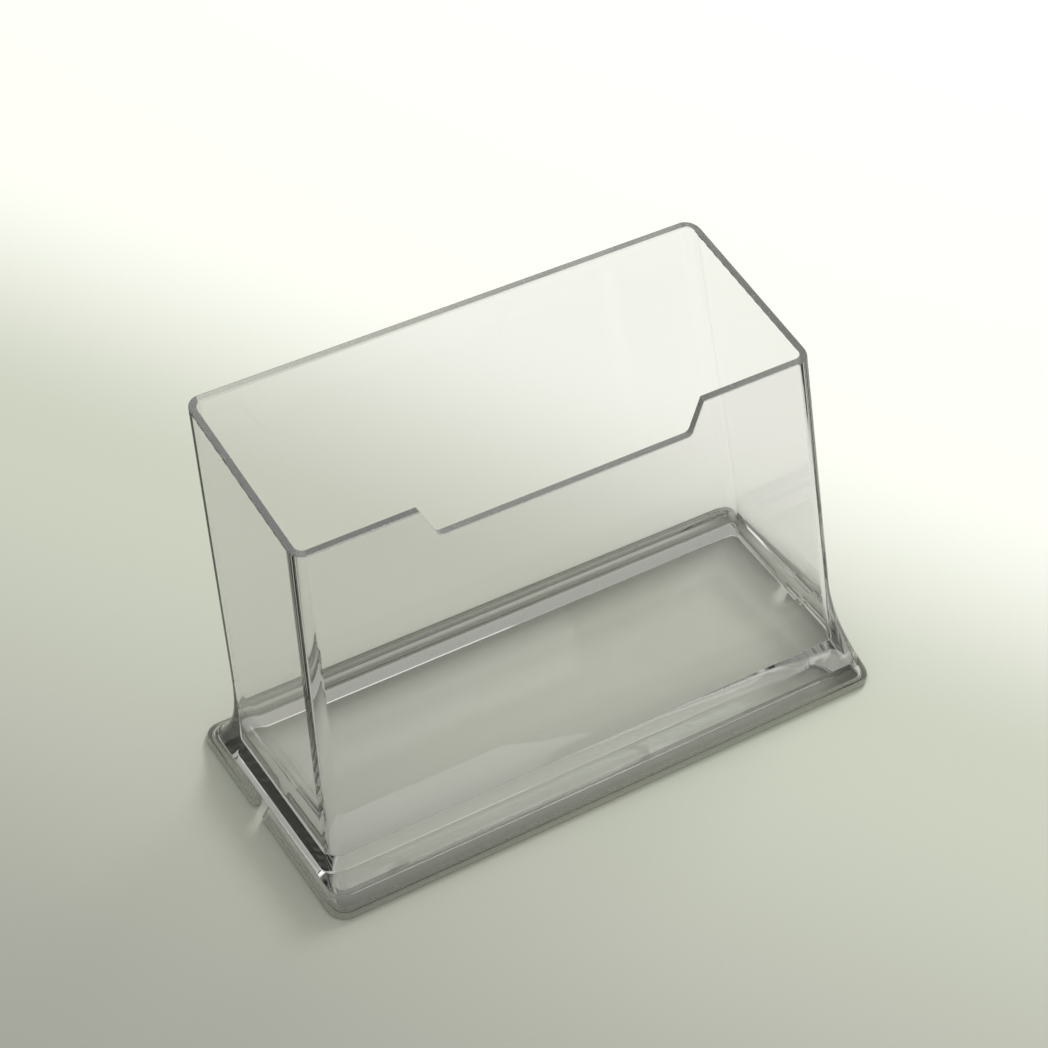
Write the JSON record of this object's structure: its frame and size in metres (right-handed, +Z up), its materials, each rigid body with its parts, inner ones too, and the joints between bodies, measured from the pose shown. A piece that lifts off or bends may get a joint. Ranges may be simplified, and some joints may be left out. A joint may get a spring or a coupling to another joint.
{
  "type": "business card stand",
  "caption": "Clear acrylic desk stand for business cards: a leaning open pocket with a finger notch, on a flared foot with hollow underside.",
  "frame": {"origin": "on the desk, in the middle of the whole stand seen from above", "axes": "+Z up, +X along the long side, -Y towards the person who takes a card, which is the side with the finger notch"},
  "size_m": [0.1044, 0.0602, 0.0576],
  "materials": {
    "clear_acrylic": "clear cast acrylic, polished on every face and edge"
  },
  "bodies": {
    "root": {"front_panel": "clear_acrylic", "back_panel": "clear_acrylic", "left_panel": "clear_acrylic", "right_panel": "clear_acrylic", "floor_plate": "clear_acrylic", "front_foot": "clear_acrylic", "back_foot": "clear_acrylic"}
  },
  "joints": []
}
